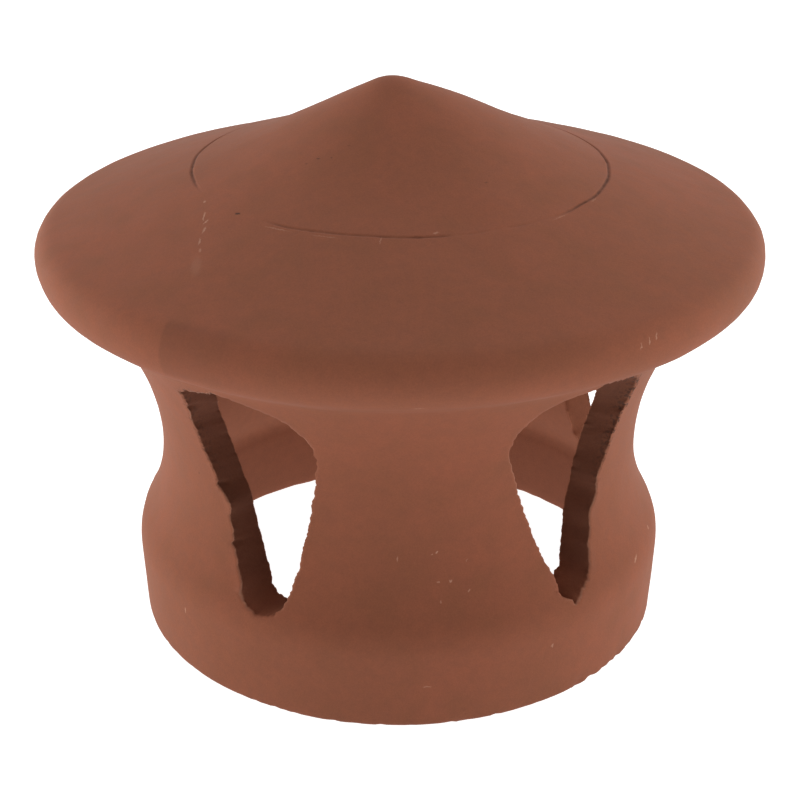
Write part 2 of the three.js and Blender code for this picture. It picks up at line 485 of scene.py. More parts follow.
# How fine each kind of unevenness is, in waves to the metre, from the form's to the crumbs'
FORM_WAVES = 11
DENT_WAVES, SMALL_DENT_WAVES = 42, 95
CHIP_WAVES, SMALL_CHIP_WAVES = 280, 620
LIP_WAVES, EDGE_HIGHLIGHT_WAVES = 160, 60
CUT_WAVES, TORN_WAVES, CRUMB_WAVES = 130, 420, 900

# How fine the groove's wobble and its ragged depth are, in waves to the degree
WOBBLE_WAVES, RAGGED_WAVES = 0.11, 0.6

# Where the pattern of the form's unevenness starts. Another place gives another cowl
FORM_START = Vector((3.1, 0.7, 5.2))

# Places round the cowl: azimuth and reach in degrees, and how strong they are there
GROOVE_PLACES = (
    (-102, 34, 0.85), (-20, 26, 0.5), (1, 8, 0.65), (22, 18, 0.2), (84, 52, 1.0), (178, 60, 0.8),
)
ROUGH_FOOT = ((48, 22, 1.0), (-34, 14, 0.3), (9, 10, 0.4), (150, 24, 0.7), (-120, 18, 0.5))

# How far below the rim the cap's shift starts, below the tip its lean, to the right of the
# axis the cone's fuller side, and above the ground the foot's chips end
SHIFT_REACH = 30 * MM
LEAN_REACH = 26 * MM
FULL_REACH = 30 * MM
CHIP_REACH = 7 * MM

# The groove's wobble to either side, and how far from the line it and its fine rows reach
WOBBLE = 0.5 * MM
GROOVE_REACH = 3 * MM
GROOVE_ROWS_REACH = 2.4 * MM


def uneven(point, waves):
    """Smooth unevenness from -1 to 1 at a point, with a number of waves to the metre"""
    return noise.noise(point * waves)


def worked(form, wear, point, normal, azimuth):
    """Moves a point of the true turned form to where the potter's hand left it"""
    radius = math.hypot(point.x, point.y)
    wander = noise.noise(point * FORM_WAVES + FORM_START)
    dents = uneven(point, DENT_WAVES) + 0.5 * uneven(point, SMALL_DENT_WAVES)
    moved = point + normal * (wear.wander * wander + wear.dents * dents)
    moved.x += wear.cap_shift * fade(point.z, form.rim_height - SHIFT_REACH, form.rim_height)
    if point.z > form.rim_height:
        high = max(0, point.z - (form.height - LEAN_REACH)) / LEAN_REACH
        moved.x -= wear.tip_lean * high**1.8
        moved.z += wear.cone_full * full_side(form, point, radius)
        place = Vector((radius, point.z))
        moved -= normal * wear.groove * groove_share(form, wear, azimuth, place)
    if point.z < CHIP_REACH:
        moved += foot_chips(form, wear, point, radius, azimuth)
    moved.z = max(moved.z, 0)
    return moved


def full_side(form, point, radius):
    """How full the cone is at a point: on its right side, between its line and its tip"""
    rise = 1 - radius / form.crease_radius
    return fade(point.x, 0, FULL_REACH) * fade(rise, 0, 0.2) * fade(1 - rise, 0.08, 0.25)


def painted_inside_light(form, height):
    """How much painted light makes the inside paler at a height: half as much on the straight wall
    inside the foot
    """
    return 0.5 + 0.5 * fade(height, form.socket_depth - 0.5 * MM, form.socket_depth + 1.5 * MM)


def groove_share(form, wear, azimuth, place):
    """How deep the line round the cone is at a place: 0 off it and where it is smeared over"""
    if place.y < form.rim_height or abs(place.x - form.crease_radius) > GROOVE_REACH:
        return 0
    wobble = WOBBLE * noise.noise(Vector((azimuth * WOBBLE_WAVES, 0, 4.4)))
    away = abs(place.x - form.crease_radius - wobble)
    ragged = 0.75 + 0.5 * noise.noise(Vector((azimuth * RAGGED_WAVES, 1.7, 0)))
    return strongest(azimuth, GROOVE_PLACES) * ragged * (1 - fade(away, 0, wear.groove_width))


def foot_chips(form, wear, point, radius, azimuth):
    """Small bites out of the foot's lower edge, up and in, on its outer and inner side"""
    place = 0.3 + strongest(azimuth, ROUGH_FOOT)
    bite = max(0, uneven(point, CHIP_WAVES) + 0.8 * uneven(point, SMALL_CHIP_WAVES) + 0.05)
    low = 1 - fade(point.z, 0, CHIP_REACH)
    outer = 0.8 if radius > (form.foot_radius + form.socket_radius) / 2 else -0.5
    inward = Vector((-point.x, -point.y, 0)).normalized() * outer
    return (inward + Vector((0, 0, 0.8))) * bite * place * low * wear.foot_chips


class Band:
    """The stretch of an outline that the windows cut through, with its rows"""

    def __init__(self, outline, low, high, step):
        self.outline = outline
        passed = [
            reach
            for reach, point in zip(outline.reach, outline.points)
            if point.x > CEILING_RADIUS and low < point.y < high
        ]
        self.start, self.end = passed[0], passed[-1]
        self.rises = outline.at(self.end).y > outline.at(self.start).y
        self.rows = spaced(self.start, self.end, step)

    def length_at(self, height):
        """The length along the outline at which the band passes a height"""
        low, high = self.start, self.end
        for _ in range(HALVINGS):
            middle = (low + high) / 2
            if (self.outline.at(middle).y < height) == self.rises:
                low = middle
            else:
                high = middle
        return (low + high) / 2


class Habit(NamedTuple):
    """How one window was cut by hand, with sizes in millimetres and turns in degrees"""

    # The round tip's radius, how far it is drawn to a point, and how far it sits to the right of
    # its place and above it
    tip_curve: float
    tip_point: float
    tip_side: float
    lift: float
    # On which side the top edge crumbled, how much, and how much painted shade darkens the cut face
    broken_side: int
    broken: float
    jamb_shade: float
    # How far the inner hole is turned against the outer one at the sill, the waist and the top
    turns: tuple
    # Places where the edge broke away, as side, height, depth and reach. One that stands into
    # the hole has a depth below 0
    nicks: tuple


# The windows in order, from the one to the right of the front pillar onwards
HABITS = (
    Habit(
        tip_curve=9, tip_point=6, tip_side=-6, lift=0,
        broken_side=1, broken=1, jamb_shade=1, turns=(-2.2, -0.9, -3.0),
        nicks=(
            (1, 134, 2.4, 9), (1, 116, -1.4, 5), (1, 98, 1.5, 9), (1, 81, 2.8, 8), (1, 66, 1.3, 6),
        ),
    ),
    Habit(
        tip_curve=10.5, tip_point=1, tip_side=1, lift=0,
        broken_side=-1, broken=0.5, jamb_shade=0.25, turns=(1.5, 0, -0.5),
        nicks=((-1, 121, 1.6, 6), (1, 68, -3, 14), (1, 104, 1.2, 3)),
    ),
    Habit(
        tip_curve=11, tip_point=0, tip_side=-1, lift=1,
        broken_side=1, broken=0.4, jamb_shade=0.5, turns=(-1, 0.5, 0.5),
        nicks=((1, 128, -2, 9), (-1, 76, 1.4, 4), (-1, 109, -1.2, 7)),
    ),
    Habit(
        tip_curve=10, tip_point=1.5, tip_side=0, lift=0.4,
        broken_side=-1, broken=0.6, jamb_shade=0.5, turns=(1, 0, 0.8),
        nicks=((-1, 93, 1.8, 3), (1, 119, 1.5, 7), (1, 60, -1, 7)),
    ),
    Habit(
        tip_curve=12, tip_point=0, tip_side=0, lift=1.2,
        broken_side=-1, broken=0.5, jamb_shade=1, turns=(3, 0.9, 1.8),
        nicks=(
            (-1, 143, -8, 8), (-1, 128, -5, 13), (-1, 126.5, 1.8, 2.2), (-1, 116, -2, 9),
            (-1, 90.5, 2, 1.6), (-1, 83, -3, 8), (-1, 66.5, 2, 1.8), (-1, 51, -1.6, 8),
        ),
    ),
)

# Points on the upper half of a window's outline before it is spaced evenly. The number of
# points after that is a multiple of six, so that every second, third or sixth can be taken
TEARDROP_STEPS = 120
EVEN_MULTIPLE = 6

# The tip's shift fades out this far above it. A nick that reaches less than this many
# millimetres stays near the outside, and all fade out towards the window's middle
TIP_REACH = 14 * MM
SHALLOW_NICK = 3
NICK_WIDTH = 12 * MM

# Heights between which the broken upper edge and the torn tip fade, and the cut face's painted
# shade
BROKEN_HEIGHTS = (70 * MM, 120 * MM)
TORN_TIP_HEIGHTS = (46 * MM, 58 * MM)
CUT_SHADE_HEIGHTS = (44 * MM, 58 * MM)

# How far apart the windows lie in the pattern of the cut's unevenness, and its two sides
NEXT_WINDOW = 17.3
THROUGH_WALL = 4 * MM


class Cut:
    """One hand-cut window: its outline as (across, height), and how its edges wander"""

    def __init__(self, scene, index, habit):
        self.sizes = scene.cowl_windows
        self.form = scene.cowl_form
        self.index = index
        self.habit = habit
        self.middle = BAY_ANGLE * (index + 0.5)
        self.points = self.teardrop()

    def teardrop(self):
        """Evenly spaced points round the teardrop, anticlockwise as seen from outside"""
        sizes = self.sizes
        low = sizes.sill + self.habit.lift * MM
        tip_curve, tip_point = self.habit.tip_curve * MM, self.habit.tip_point * MM
        tip = Vector((0, low + tip_curve))
        lean = math.atan2(sizes.half_width - tip_curve, sizes.widest - tip.y)
        right = arc(tip, tip_curve, -math.pi / 2, -lean, TIP_CURVE_STEP)
        for point in right:
            share = abs(point.x) / tip_curve
            point.y += tip_point * (1 - (1 - share) ** 1.5) * (1 - share)
            point.y += tip_point * share**2 * 0.35
        power = 2 / sizes.squareness
        for k in range(TEARDROP_STEPS):
            turn = math.pi / 2 * k / TEARDROP_STEPS
            x = sizes.half_width * math.cos(turn) ** power
            y = sizes.widest + (sizes.top - sizes.widest) * math.sin(turn) ** power
            right.append(Vector((x, y)))
        right.append(Vector((0, sizes.top)))
        left = [Vector((-point.x, point.y)) for point in right[-2:0:-1]]
        for point in right + left:
            point.x += self.habit.tip_side * MM * (1 - fade(point.y, low, low + TIP_REACH))
        loop = Outline(right + left + right[:1])
        count = EVEN_MULTIPLE * round(loop.length / CUT_STEP / EVEN_MULTIPLE)
        return [loop.at(loop.length * k / count) for k in range(count)]

    def placed(self, point):
        """An outline point leaned and put in its place, as (azimuth in degrees, height)"""
        across = point.x + math.tan(self.sizes.lean) * (self.form.waist_height - point.y)
        return self.middle + math.degrees(math.atan2(across, self.form.waist_radius)), point.y

    def turned_in(self, height):
        """How far the inner hole is turned against the outer one at a height, in degrees"""
        low, middle, high = self.habit.turns
        waist = self.form.waist_height
        below, above = fade(height, self.sizes.sill, waist), fade(height, waist, self.sizes.top)
        return low + (middle - low) * below + (high - middle) * above

    def nicked(self, point, through):
        """How far to the side an outline point has broken away, or stands into the hole"""
        found = 0
        for side, height, depth, reach in self.habit.nicks:
            if side * point.x > 0:
                near = 1 - fade(abs(point.y - height * MM), 0, reach * MM)
                shallow = 1 - (fade(through, 0.1, 0.5) if reach < SHALLOW_NICK else 0.55 * through)
                found += depth * MM * near * shallow
        return Vector((found * min(1, max(-1, point.x / NICK_WIDTH)), 0))

    def broken_at(self, point):
        """How broken the cut's outer edge is at an outline point"""
        side = 1 if point.x * self.habit.broken_side > 0 else 0
        return self.habit.broken * side * fade(point.y, *BROKEN_HEIGHTS)

    def into_clay(self, k):
        """The direction from the hole into the clay at an outline point"""
        run = self.points[(k + 1) % len(self.points)] - self.points[k - 1]
        return Vector((run.y, -run.x)).normalized()

    def strays(self, k, depth):
        """How far the cut strays into the clay at an outline point and a share of the wall"""
        point = self.points[k]
        place = Vector((point.x + NEXT_WINDOW * self.index, point.y, depth * THROUGH_WALL))
        broken = self.broken_at(point)
        tip = self.habit.broken * (1 - fade(point.y, *TORN_TIP_HEIGHTS))
        near = 1 - fade(min(depth, 1 - depth), 0.04, 0.24 + 0.06 * broken)
        ragged = (0.7 + 0.9 * broken + 0.7 * tip) * (0.1 + 0.9 * near)
        slow = uneven(place, CUT_WAVES) * (0.4 + 0.6 * near)
        fine = uneven(place, TORN_WAVES) + 0.9 * uneven(place, CRUMB_WAVES)
        return self.sizes.rough * (slow + ragged * fine + 1.2 * broken)

    def meets(self, k, row, outer_band, inner_band):
        """Where a row of the cut face ends, outside and inside, as (azimuth, length)"""
        sizes, point = self.sizes, self.points[k]
        depth = min(max(row / CUT_ROWS, 0), 1)
        margin = sizes.edge if row in (-1, CUT_ROWS + 1) else 0
        torn = self.into_clay(k) * (margin + self.strays(k, depth))
        azimuth, height = self.placed(point + torn + self.nicked(point, depth))
        low = 1 - fade(point.y, sizes.sill, sizes.widest)
        inner_height = height + sizes.sill_fall * self.form.wall * low
        outer = azimuth, outer_band.length_at(height)
        return outer, (azimuth + self.turned_in(height), inner_band.length_at(inner_height))

    def corner(self, row, outer, inner):
        """A vertex of a row between the wall's two sides, with the cut's edges rounded"""
        through = (inner - outer).normalized()
        edge = ROUNDED * self.sizes.edge
        if row == -1:
            start = Vector((0, 0, self.index))
            dragged = max(0, 0.4 + noise.noise(outer * LIP_WAVES + start))
            return outer - through * (self.sizes.lip * dragged * 0.5)
        if row == 0:
            return outer + through * edge
        if row < CUT_ROWS:
            return outer.lerp(inner, (row - 0.5) / (CUT_ROWS - 1))
        return inner - through * (edge if row == CUT_ROWS else 0)

    def looks(self, k, row, place):
        """What the clay's material is told of a vertex of the cut"""
        point = self.points[k]
        looks = {"crumbs": self.broken_at(point) * (1 - fade(row, 1, 5))}
        if row == 0:
            # Painted highlight: a pale line along the window's outer edge, where its lip catches
            # the light
            looks["edge"] = max(0, 0.45 + 1.1 * uneven(place, EDGE_HIGHLIGHT_WAVES))
        elif row >= CUT_ROWS:
            # The window's inner edge takes the inside's painted light
            looks["dust"] = 1
        elif row > 0:
            # Painted shade darkens the cut face, and the less it gets, the more painted light makes
            # it paler
            looks["dust"] = 0.5 - 0.5 * self.habit.jamb_shade
            looks["cut"] = self.habit.jamb_shade * (0.4 + 0.6 * fade(point.y, *CUT_SHADE_HEIGHTS))
        return looks


def cut_through(surface, cut, outer_band, inner_band):
    """The cut face through the wall round one window, and the hole it leaves in each side"""
    loops, outer_hole, inner_hole = [], [], []
    for row in range(-1, CUT_ROWS + 2):
        loop = []
        for k in range(len(cut.points)):
            outer_place, inner_place = cut.meets(k, row, outer_band, inner_band)
            outer = surface.turned(outer_band.outline, *outer_place)
            inner = surface.turned(inner_band.outline, *inner_place)
            place = cut.corner(row, outer, inner)
            loop.append(surface.add(place, **cut.looks(k, row, place)))
            if row == -1:
                outer_hole.append(outer_place)
            elif row == CUT_ROWS + 1:
                inner_hole.append(inner_place)
        loops.append(loop)
    for low, high in zip(loops[:-1], loops[1:]):
        for k in range(len(low)):
            after = (k + 1) % len(low)
            surface.faces.append((low[k], low[after], high[after], high[k]))
    return (loops[0], outer_hole), (loops[-1], inner_hole)


def within(point, loop):
    """Whether a flat point lies in a closed loop"""
    odd = False
    before = loop[-1]
    for corner in loop:
        if (corner[1] > point[1]) != (before[1] > point[1]):
            share = (point[1] - before[1]) / (corner[1] - before[1])
            odd = odd != (point[0] < before[0] + share * (corner[0] - before[0]))
        before = corner
    return odd


# The close ring of points round a window stands off by this share of the window's size, and
# the grid starts almost a row further out, for a window that reaches this far from its middle
CLOSE_RING = 0.035
WINDOW_REACH = 40 * MM


def grown(loop, share):
    """A loop scaled up about its middle"""
    middle = sum(loop, Vector((0, 0))) / len(loop)
    return [middle + (corner - middle) * (1 + share) for corner in loop]


class Bay:
    """The clay between two pillar lines on one side of the wall, round one window"""

    def __init__(self, surface, band, index):
        self.surface = surface
        self.band = band
        self.index = index
        self.scale = surface.form.waist_radius * math.radians(1)
        self.places = []
        self.verts = []

    def put(self, azimuth, length, vert=None):
        self.places.append(Vector((azimuth * self.scale, length)))
        self.verts.append(vert)

    def fill(self, low, high, pillars, hole_verts, hole):
        """Triangles over the bay, which share the rings, pillar lines and window edge"""
        rows = self.band.rows
        count = len(low) // WINDOWS
        for ring, length in ((low, rows[0]), (high, rows[-1])):
            for k in range(count + 1):
                corner = (self.index * count + k) % len(ring)
                self.put(BAY_ANGLE * (self.index + k / count), length, ring[corner])
        for side in (0, 1):
            column = pillars[(self.index + side) % WINDOWS]
            for vert, length in zip(column, rows[1:-1]):
                self.put(BAY_ANGLE * (self.index + side), length, vert)
        first = len(self.places)
        for (azimuth, length), vert in zip(hole, hole_verts):
            self.put(azimuth, length, vert)
        edge = self.places[first:]
        self.put_grid(rows, count, edge)
        links = [(first + k, first + (k + 1) % len(hole)) for k in range(len(hole))]
        _, _, faces, origins, _, _ = delaunay_2d_cdt(self.places, links, [], 0, 1e-9)
        last = first + len(hole)
        for face in faces:
            corners = [origins[k][0] for k in face]
            on_edge = all(first <= k < last for k in corners)
            middle = sum((self.places[k] for k in corners), Vector((0, 0))) / 3
            if not (on_edge and within(middle, edge)):
                self.surface.faces.append(tuple(self.vert(k) for k in corners))

    def put_grid(self, rows, count, edge):
        """A close ring of points round the window, and a staggered grid over the rest"""
        step = rows[1] - rows[0]
        for corner in grown(edge, CLOSE_RING)[::3]:
            if not within(corner, edge):
                self.put(corner.x / self.scale, corner.y)
        guard = grown(edge, CLOSE_RING + 0.9 * step / WINDOW_REACH)[::6]
        for row, length in enumerate(rows[1:-1]):
            for k in range(1, count):
                azimuth = BAY_ANGLE * (self.index + (k + 0.5 * (row % 2) - 0.25) / count)
                place = (azimuth * self.scale, length)
                if not within(place, guard) and not within(place, edge[::2]):
                    self.put(azimuth, length)

    def vert(self, k):
        """The vertex of a place, made when it is first used"""
        if self.verts[k] is None:
            azimuth, length = self.places[k].x / self.scale, self.places[k].y
            self.verts[k] = self.surface.put(self.band.outline, azimuth, length)
        return self.verts[k]


def fill_band(surface, band, low, high, holes):
    """All five bays of one side of the wall"""
    pillars = []
    for index in range(WINDOWS):
        azimuth = BAY_ANGLE * index
        pillars.append([surface.put(band.outline, azimuth, length) for length in band.rows[1:-1]])
    for index, (hole_verts, hole) in enumerate(holes):
        Bay(surface, band, index).fill(low, high, pillars, hole_verts, hole)


def line_inside(surface, inside, band):
    """The ceiling, and the inside of the foot: the band's two end rings and the last ring"""
    ceiling_rows = spaced(FIRST_RING, band.start, CEILING_ROWS)
    first, ceiling = surface.rings(inside, ceiling_rows, INSIDE_SEGMENTS)
    surface.close(first, inside, 0, faces_back=True)
    foot = surface.ring(inside, band.end, INSIDE_SEGMENTS)
    edge = inside.length - surface.form.socket_edge * math.pi / 2
    rows = spaced(band.end, edge, INNER_ROWS)[1:]
    rows += spaced(rows[-1], inside.length, SOCKET_EDGE_ROWS)[1:]
    _, last = surface.rings(inside, rows, INSIDE_SEGMENTS, foot)
    return ceiling, foot, last


def turn_foot(surface, inside, outside, band, last):
    """The foot's underside and its outside, up to the band's lower ring"""
    under = Outline(line(inside.at(inside.length), outside.at(0)))
    under_rows = spaced(0, under.length, UNDERSIDE_ROWS)[1:-1]
    _, last = surface.rings(under, under_rows, OUTSIDE_SEGMENTS, last)
    edge = surface.form.foot_edge * math.pi / 2
    rows = spaced(0, edge, FOOT_EDGE_ROWS) + spaced(edge, band.start, OUTER_ROWS)[1:]
    return surface.rings(outside, rows, OUTSIDE_SEGMENTS, last)[1]


def turn_cap(surface, outside, band):
    """The cap and the cone, from the band's upper ring"""
    form = surface.form
    first = surface.ring(outside, band.end, OUTSIDE_SEGMENTS)
    crease = outside.length_where(
        lambda point: point.y > form.rim_height and point.x < form.crease_radius + TINY
    )
    before, after = crease - GROOVE_ROWS_REACH, crease + GROOVE_ROWS_REACH
    rows = spaced(band.end, before, OUTER_ROWS)[1:]
    rows += spaced(before, after, GROOVE_ROWS)[1:]
    rows += spaced(after, outside.length - LAST_RING, CONE_ROWS)[1:]
    _, last = surface.rings(outside, rows, OUTSIDE_SEGMENTS, first)
    surface.close(last, outside, outside.length)
    return first


def clay_surface(scene):
    """The whole fired body as one closed surface"""
    form, wear = scene.cowl_form, scene.cowl_wear
    surface = Surface(form, wear)
    outside = Outline(outside_points(form))
    inside = Outline(inside_points(form, outside), inside=1)
    outer_band, inner_band = Band(outside, *OUTER_BAND), Band(inside, *INNER_BAND)
    inner_low, inner_high, last = line_inside(surface, inside, inner_band)
    outer_low = turn_foot(surface, inside, outside, outer_band, last)
    outer_high = turn_cap(surface, outside, outer_band)
    cuts = [Cut(scene, index, habit) for index, habit in enumerate(HABITS)]
    holes = [cut_through(surface, cut, outer_band, inner_band) for cut in cuts]
    fill_band(surface, outer_band, outer_low, outer_high, [outer for outer, _ in holes])
    fill_band(surface, inner_band, inner_low, inner_high, [inner for _, inner in holes])
    return surface


class Nodes:
    """Adds nodes to a material's tree, with plain numbers and links as their inputs"""

    def __init__(self, tree):
        self.tree = tree

    def feed(self, socket, value):
        """Gives a socket a link or a plain value"""
        if isinstance(value, bpy.types.NodeSocket):
            self.tree.links.new(value, socket)
        else:
            socket.default_value = value

    def add(self, kind, settings=None, **inputs):
        """A new node, with its inputs by name, or by number as in _0"""
        made = self.tree.nodes.new("ShaderNode" + kind)
        for name, value in (settings or {}).items():
            setattr(made, name, value)
        for name, value in inputs.items():
            number = name[1:]
            which = int(number) if number.isdigit() else name.replace("_", " ")
            self.feed(made.inputs[which], value)
        return made

    def noise(self, place, scale, detail=3, roughness=0.5):
        inputs = {"Vector": place, "Scale": scale, "Detail": detail, "Roughness": roughness}
        return self.add("TexNoise", **inputs).outputs[0]

    def ramp(self, value, low, high, bottom=0.0, top=1.0):
        limits = {"From_Min": low, "From_Max": high, "To_Min": bottom, "To_Max": top}
        smooth = {"interpolation_type": "SMOOTHSTEP"}
        return self.add("MapRange", smooth, Value=value, **limits).outputs[0]

    def maths(self, operation, first, second=0.0):
        return self.add("Math", {"operation": operation}, _0=first, _1=second).outputs[0]

    def times(self, first, second):
        return self.maths("MULTIPLY", first, second)

    def most(self, first, second):
        return self.maths("MAXIMUM", first, second)

    def vectors(self, operation, **inputs):
        return self.add("VectorMath", {"operation": operation}, **inputs).outputs

    def mix(self, share, bottom, top):
        return self.add("Mix", {"data_type": "RGBA"}, _0=share, _6=bottom, _7=top).outputs[2]


# Marks on the clay: azimuth in degrees, radius and height in millimetres, half length and
# half width in millimetres, turn of its length from level in degrees, strength
SCUFFS = (
    (-64.5, 89, 200.6, 1.3, 0.8, -20, 0.4),
    (-58.2, 93.5, 199, 4.4, 0.5, -40, 0.5),
    (-55.6, 96.5, 198, 2.4, 0.5, -75, 0.55),
    (-53.2, 100, 196.8, 3.2, 0.6, -56, 0.42),
    (-50.6, 105, 195.1, 3.2, 0.5, -46, 0.38),
    (-48, 109, 193.7, 1.8, 0.5, -45, 0.3),
    (-45, 116, 191.4, 9, 3, -48, 0.08),
    (-36, 88, 201, 8, 0.4, 0, 0.22),
    (-23, 88, 201, 7, 0.35, 0, 0.2),
    (40, 88.3, 201, 6, 0.4, 0, 0.2),
    (56, 88.3, 201, 4, 0.4, 0, 0.18),
    (4.8, 85, 202, 1.6, 0.8, 10, 0.35),
    (-9, 88, 201, 3, 0.4, 85, 0.3),
    (30.2, 152, 174.5, 1.8, 0.35, 75, 0.45),
    (31.8, 152, 174.8, 2, 0.4, 80, 0.5),
    (33.2, 151.7, 175.4, 2, 0.4, 70, 0.45),
    (-2, 146, 162, 3.4, 0.5, 5, 0.3),
    (-5, 104.9, 73, 2, 0.4, 88, 0.4),
    (2.5, 104.6, 75.2, 0.7, 0.5, 0, 0.4),
    (3.6, 104.6, 75.6, 0.9, 0.6, 20, 0.6),
    (10.2, 105.2, 70.5, 1, 0.5, 60, 0.3),
    (3.8, 106.8, 63, 1, 0.5, 0, 0.4),
    (6.5, 106.9, 62.7, 0.9, 0.7, 90, 0.55),
    (10.3, 108.3, 58.1, 0.9, 0.6, 60, 0.45),
    (4.1, 109.2, 55.8, 0.9, 0.5, 80, 0.35),
    (28, 117, 28, 1.4, 0.8, 70, 0.4),
    (1, 117, 20, 2.4, 0.5, 0, 0.3),
    (57, 115, 43, 3, 0.8, 30, 0.5),
    (69, 114, 45, 1.6, 0.8, 50, 0.45),
    (-55, 117, 30, 1.8, 0.5, 85, 0.45),
)
PITS = (
    (-43.7, 50, 218, 1.1, 0.7, 0, 0.6),
    (-37.8, 49, 218.2, 0.9, 0.5, 0, 0.45),
    (-47, 55, 216, 0.8, 0.5, 30, 0.4),
    (-33, 42, 221.5, 0.8, 0.5, 0, 0.35),
    (27.8, 63, 211, 1.1, 0.6, 10, 0.5),
    (-50.4, 87, 201.2, 1.7, 1, 10, 0.9),
    (-56, 105, 91, 1, 0.7, 30, 0.4),
)
DARK_PATCH = (-30, 151.5, 174, 25, 11.5, 0, 0.2)

# How deep a mark reaches from the surface, in millimetres, and how far its edge is ragged
MARK_DEPTH = 4
RAGGED_MARKS = 1.6 * MM

# How fine the clay's colours and grain are, in waves to the metre
CLOUD_WAVES, PATCH_WAVES, MOTTLE_WAVES, GRAIN_WAVES = 14, 60, 240, 1700
RAGGED_MARK_WAVES, CRUMB_DIRT_WAVES = 900, 700


def mark_place(nodes, place, outside, mark):
    """Places as seen from a mark: 1 at its ends and sides, and 0 at its middle"""
    azimuth, radius, height, half_length, half_width, turn, _ = mark
    aim = Vector((radius, height)) * MM
    nearest = min(outside.points, key=lambda point: (point - aim).length)
    out = outside.facing(outside.reach[outside.points.index(nearest)])
    side, turn = math.radians(azimuth), math.radians(turn)
    away = Vector((math.sin(side), -math.cos(side), 0))
    normal = Vector((away.x * out.x, away.y * out.x, out.y))
    level = Vector((math.cos(side), math.sin(side), 0))
    along = level * math.cos(turn) + normal.cross(level) * math.sin(turn)
    axes = Matrix((along, normal.cross(along), normal)).transposed()
    lie = {
        "Location": (away.x * nearest.x, away.y * nearest.x, nearest.y),
        "Rotation": axes.to_euler(),
        "Scale": Vector((half_length, half_width, MARK_DEPTH)) * MM,
    }
    return nodes.add("Mapping", {"vector_type": "TEXTURE"}, Vector=place, **lie).outputs[0]


def mark_share(nodes, place, outside, marks):
    """How strongly any of a list of small marks lies over a place"""
    total = 0.0
    for mark in marks:
        local = mark_place(nodes, place, outside, mark)
        reach = nodes.vectors("LENGTH", _0=local)["Value"]
        total = nodes.most(total, nodes.ramp(reach, 1, 0.3, 0, mark[-1]))
    return total


def dark_patch_share(nodes, place, outside, mark):
    """How strongly the darker patch lies over a place: it starts sharply and fades out to the right
    """
    local = nodes.add("SeparateXYZ", Vector=mark_place(nodes, place, outside, mark))
    start = nodes.ramp(local.outputs["X"], -1, -0.94, 0, mark[-1])
    rest = nodes.ramp(local.outputs["X"], 1, -0.9)
    level = nodes.maths("ABSOLUTE", local.outputs["Y"])
    return nodes.times(nodes.times(start, rest), nodes.ramp(level, 1, 0.75))


def fired_colour(nodes, clay, place, shares, mottle, grain):
    """The clay's colour: soft patches, an inside made paler by painted light, and cut faces
    darkened by painted shade
    """
    body, warm, dull, pale = (
        (*colour, 1) for colour in (clay.body, clay.warm, clay.dull, clay.painted_inside_light)
    )
    clouds = nodes.noise(place, CLOUD_WAVES, 2, 0.5)
    patches = nodes.noise(place, PATCH_WAVES, 3, 0.55)
    colour = nodes.mix(nodes.ramp(clouds, 0.35, 0.7), body, warm)
    colour = nodes.mix(nodes.ramp(patches, 0.4, 0.75, 0.0, 0.8), colour, dull)
    # Painted light: the inside and the lighter cut faces are made paler
    colour = nodes.mix(shares["dust"], colour, pale)
    speckle = nodes.ramp(grain, 0.2, 0.8, 0.92, 1.08)
    tone = nodes.times(nodes.ramp(mottle, 0.2, 0.8, 0.93, 1.07), speckle)
    # Painted shade: the cut faces are darkened
    tone = nodes.times(tone, nodes.ramp(shares["cut"], 0, 1, 1, 0.55))
    return nodes.add("HueSaturation", Color=colour, Value=tone).outputs[0]


def marked_colour(nodes, scene, place, shares, colour):
    """The clay's colour with its pale scuffs, a painted highlight along the windows' outer edges,
    and its pits, darker patch and line
    """
    clay = scene.cowl_clay
    outside = Outline(outside_points(scene.cowl_form))
    jitter = nodes.add("TexNoise", Vector=place, Scale=RAGGED_MARK_WAVES, Detail=2).outputs["Color"]
    shifted = nodes.vectors("MULTIPLY_ADD", _0=jitter, _1=(RAGGED_MARKS,) * 3, _2=place)[0]
    ragged = nodes.vectors("SUBTRACT", _0=shifted, _1=(RAGGED_MARKS / 2,) * 3)[0]

    scuffs = mark_share(nodes, ragged, outside, SCUFFS)
    # Painted highlight along the windows' outer edges, in the scuffs' pale colour
    scuffs = nodes.most(scuffs, nodes.times(shares["edge"], 0.35))
    pits = mark_share(nodes, ragged, outside, PITS)
    pits = nodes.most(pits, dark_patch_share(nodes, place, outside, DARK_PATCH))
    crumbs = nodes.ramp(nodes.noise(place, CRUMB_DIRT_WAVES, 1), 0.5, 0.6, 0, 0.8)
    pits = nodes.most(pits, nodes.times(shares["crumbs"], crumbs))
    dirty = nodes.most(pits, nodes.ramp(shares["groove"], 0, 0.8, 0, 0.55))
    colour = nodes.mix(scuffs, colour, (*clay.scuff, 1))
    return nodes.mix(dirty, colour, (*clay.dirt, 1))


